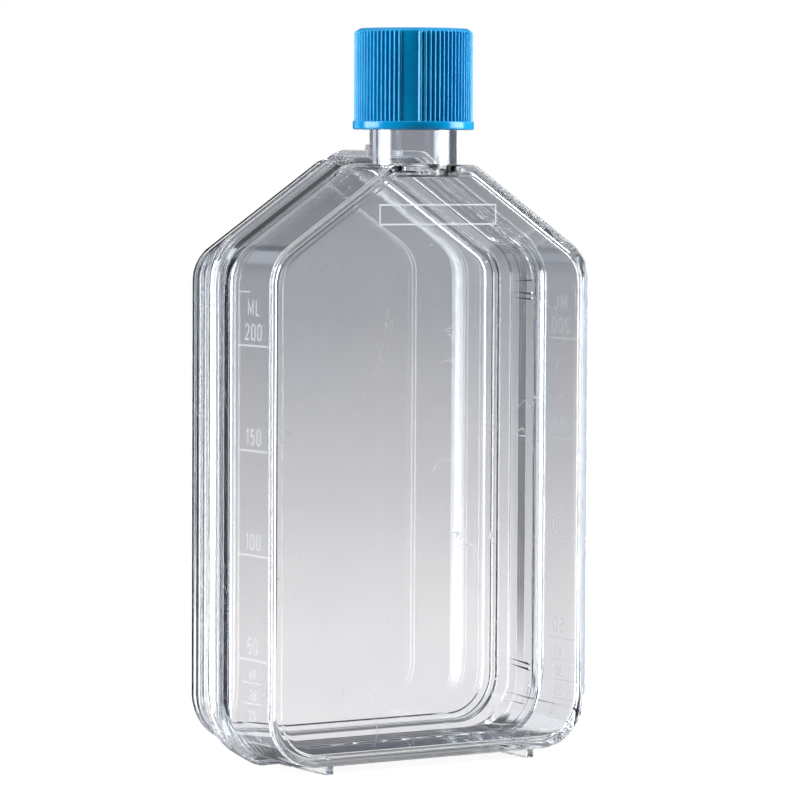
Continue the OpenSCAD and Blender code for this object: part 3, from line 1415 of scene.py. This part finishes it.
        # A shadow painted on the floor right under the flask, which stands on two low feet; it shows
        # through the walls and in mirrors
        centre, half = (tuple(size * MM for size in pair) for pair in (self.painted_shadow_centre, self.painted_shadow_half))
        under = graph.add("VectorMath", "SUBTRACT", i0=graph.here, i1=(*centre, 0.0))
        under = graph.add("VectorMath", "ABSOLUTE", i0=under)
        under = graph.add("VectorMath", "DIVIDE", i0=under, i1=(*half, 1.0))
        axes = graph.add("SeparateXYZ", i0=under).outputs
        edge = graph.add("Math", "MAXIMUM", i0=axes["X"], i1=axes["Y"])
        soft = {"interpolation_type": Fade.SOFT.value}
        # 1 on the open floor, falling to 0.12 in the painted shadow under the flask
        outside_painted_shadow = graph.add("MapRange", soft, Value=edge, From_Min=0.85, From_Max=1.05, To_Min=0.12)
        far = graph.add("MapRange", Value=reach, From_Min=0.15, From_Max=0.6, To_Min=0.93)
        plain = graph.add("BsdfDiffuse", Color=light(0.11))
        seen = graph.add("AddShader", i0=plain, i1=graph.add("Emission", Strength=far))
        seen_through = graph.add("Emission", Color=through, Strength=outside_painted_shadow)
        # Painted shadow: a dark emission under the flask, seen in mirrors
        painted_shadow = graph.add("Emission", Color=light(0.02, 0.024, 0.036))
        room = graph.add("MixShader", Fac=outside_painted_shadow, i1=painted_shadow, i2=graph.add("BsdfTransparent"))
        mirror = graph.add("Math", "GREATER_THAN", i0=path["Glossy Depth"], i1=0.5)
        clear = graph.add("MixShader", Fac=mirror, i1=seen_through, i2=room)
        either = graph.add("Math", "MAXIMUM", i0=path["Is Glossy Ray"], i1=path["Is Transmission Ray"])
        bounced = graph.add("BsdfDiffuse", Color=light(0.2))
        other = graph.add("MixShader", Fac=either, i1=bounced, i2=clear)
        both = graph.add("MixShader", Fac=path["Is Camera Ray"], i1=other, i2=seen)
        graph.add("OutputMaterial", Surface=both)
        floor.data.materials.append(material)

    def world(self) -> None:
        """Makes the world: white to the eye, a grey sweep through walls, a dark room in mirrors."""
        world = bpy.data.worlds.new("studio")
        bpy.context.scene.world = world
        graph = Graph(world)
        path = graph.add("LightPath").outputs
        direction = graph.place.outputs["Generated"]
        up = graph.add("SeparateXYZ", i0=direction).outputs["Z"]
        height = graph.add("MapRange", Value=up, From_Min=-1.0, From_Max=1.0)
        sweep = graph.add("ValToRGB", {"stops": [
            (0.0, 0.9), (0.37, 0.8), (0.44, 0.68, 0.66, 0.655), (0.48, 0.47, 0.47, 0.49),
            (0.5, 0.35, 0.352, 0.38), (0.53, 0.24, 0.245, 0.275), (0.57, 0.1, 0.105, 0.125),
            (0.62, 0.05, 0.052, 0.065), (0.7, 0.3, 0.31, 0.35), (0.9, 0.5), (1.0, 0.6),
        ]}, i0=height)
        front = graph.add("ValToRGB", {"stops": [
            (0.0, 0.5), (0.25, 0.3), (0.4, 0.06, 0.065, 0.08), (0.5, 0.03, 0.034, 0.05),
            (0.57, 0.015, 0.018, 0.03), (0.76, 0.02, 0.024, 0.036), (0.85, 0.5), (1.0, 0.7),
        ]}, i0=height)
        right_rear = graph.add("ValToRGB", {"stops": [
            (0.0, 0.3), (0.4, 0.16), (0.5, 0.12, 0.13, 0.16), (0.6, 0.3, 0.31, 0.35),
            (0.7, 0.42, 0.43, 0.47), (1.0, 0.6),
        ]}, i0=height)
        on_sweep = self.sector(graph, direction, 180.0, self.sweep_deg, Fade.SOFT)
        panel = self.sector(graph, direction, 110.0, (12.0, 16.0))
        wall, panel_light = light(0.22, 0.225, 0.24), light(0.6, 0.62, 0.66)
        aside = graph.add("Mix", RGBA, Factor=panel, i6=wall, i7=panel_light).outputs[2]
        behind = graph.add("Mix", RGBA, Factor=on_sweep, i6=aside, i7=sweep).outputs[2]
        right = self.sector(graph, direction, 133.0, (25.0, 29.0))
        left = self.sector(graph, direction, -138.0, (8.0, 12.0))
        room = graph.add("Mix", RGBA, Factor=right, i6=front, i7=right_rear).outputs[2]
        room = graph.add("Mix", RGBA, Factor=left, i6=room, i7=light(0.7, 0.76, 0.84)).outputs[2]
        room = graph.add("Mix", RGBA, Factor=on_sweep, i6=room, i7=sweep).outputs[2]
        boxes = [
            self.sector(graph, direction, azimuth, (half - 1.5, half + 1.5), level=power)
            for azimuth, half, power in self.boxes
        ]
        power = graph.add("Math", "ADD", i0=boxes[0], i1=boxes[1])
        # The softboxes fade out 34 to 40 degrees above the level and 9 to 17 degrees below it
        for end, full in ((0.64, 0.56), (-0.3, -0.16)):
            share = graph.add("MapRange", Value=up, From_Min=end, From_Max=full)
            power = graph.add("Math", "MULTIPLY", i0=power, i1=share)
        dark = graph.add("Background", Color=room)
        bright = graph.add("Background", Color=light(0.95, 0.98, 1.0), Strength=power)
        mirrored = graph.add("AddShader", i0=dark, i1=bright)
        mirror = graph.add("Math", "GREATER_THAN", i0=path["Glossy Depth"], i1=0.5)
        through = graph.add("Background", Color=behind)
        studio = graph.add("MixShader", Fac=mirror, i1=through, i2=mirrored)
        fill = graph.add("Background", Color=light(0.9, 0.95, 1.0), Strength=0.03)
        seen = graph.add("Background", Color=light(1.0))
        lit = graph.add("MixShader", Fac=path["Is Diffuse Ray"], i1=studio, i2=fill)
        both = graph.add("MixShader", Fac=path["Is Camera Ray"], i1=lit, i2=seen)
        graph.add("OutputWorld", Surface=both)
        world.cycles.sampling_method = "NONE"

    def lamp(self, name: str, azimuth: float, power: float) -> None:
        """Stands a tall softbox beside the flask, facing it.

        Args:
            name: name of the lamp.
            azimuth: where it stands.
            power: its power in watts.
        """
        data = bpy.data.lights.new(name, "AREA")
        data.shape = "RECTANGLE"
        data.size, data.size_y = (size * MM for size in self.lamp_size)
        data.energy = power
        lamp = bpy.data.objects.new(name, data)
        spot = self.toward(azimuth) * self.lamp_away + Vector((0, 0, self.lamp_z))
        lamp.location = spot * MM
        aim = Vector((0, 0, self.lamp_aim)) - spot
        lamp.rotation_euler = aim.to_track_quat("-Z", "Y").to_euler()
        lamp.visible_camera = False
        lamp.visible_glossy = False
        lamp.visible_transmission = False
        bpy.context.scene.collection.objects.link(lamp)

    def build(self) -> None:
        """Sets up the studio."""
        self.camera()
        self.floor()
        self.world()
        self.lamp("left_softbox", -76.0, 21)
        self.lamp("right_softbox", 95.0, 31)
        cycles = bpy.context.scene.cycles
        cycles.max_bounces = 32
        cycles.transmission_bounces = 32
        cycles.glossy_bounces = 24
        bpy.context.scene.view_settings.view_transform = "Standard"


def main() -> None:
    """Builds the flask and the studio."""
    logging.basicConfig(level=logging.INFO, format="%(name)s: %(message)s")
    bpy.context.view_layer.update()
    places = Places.read()
    outline = Outline.fit(places)
    for part in (
        FlaskBody(places, outline),
        Marks(places, outline, MarkSet.FILLING),
        Marks(places, outline, MarkSet.FRAME),
        ScrewCap(places),
        CapSeal(places),
    ):
        piece = part.build()
        part.dress(piece)
        LOG.info("%s: %d faces", piece.name, len(piece.data.polygons))
    Studio(places).build()


if __name__ == "__main__":
    main()
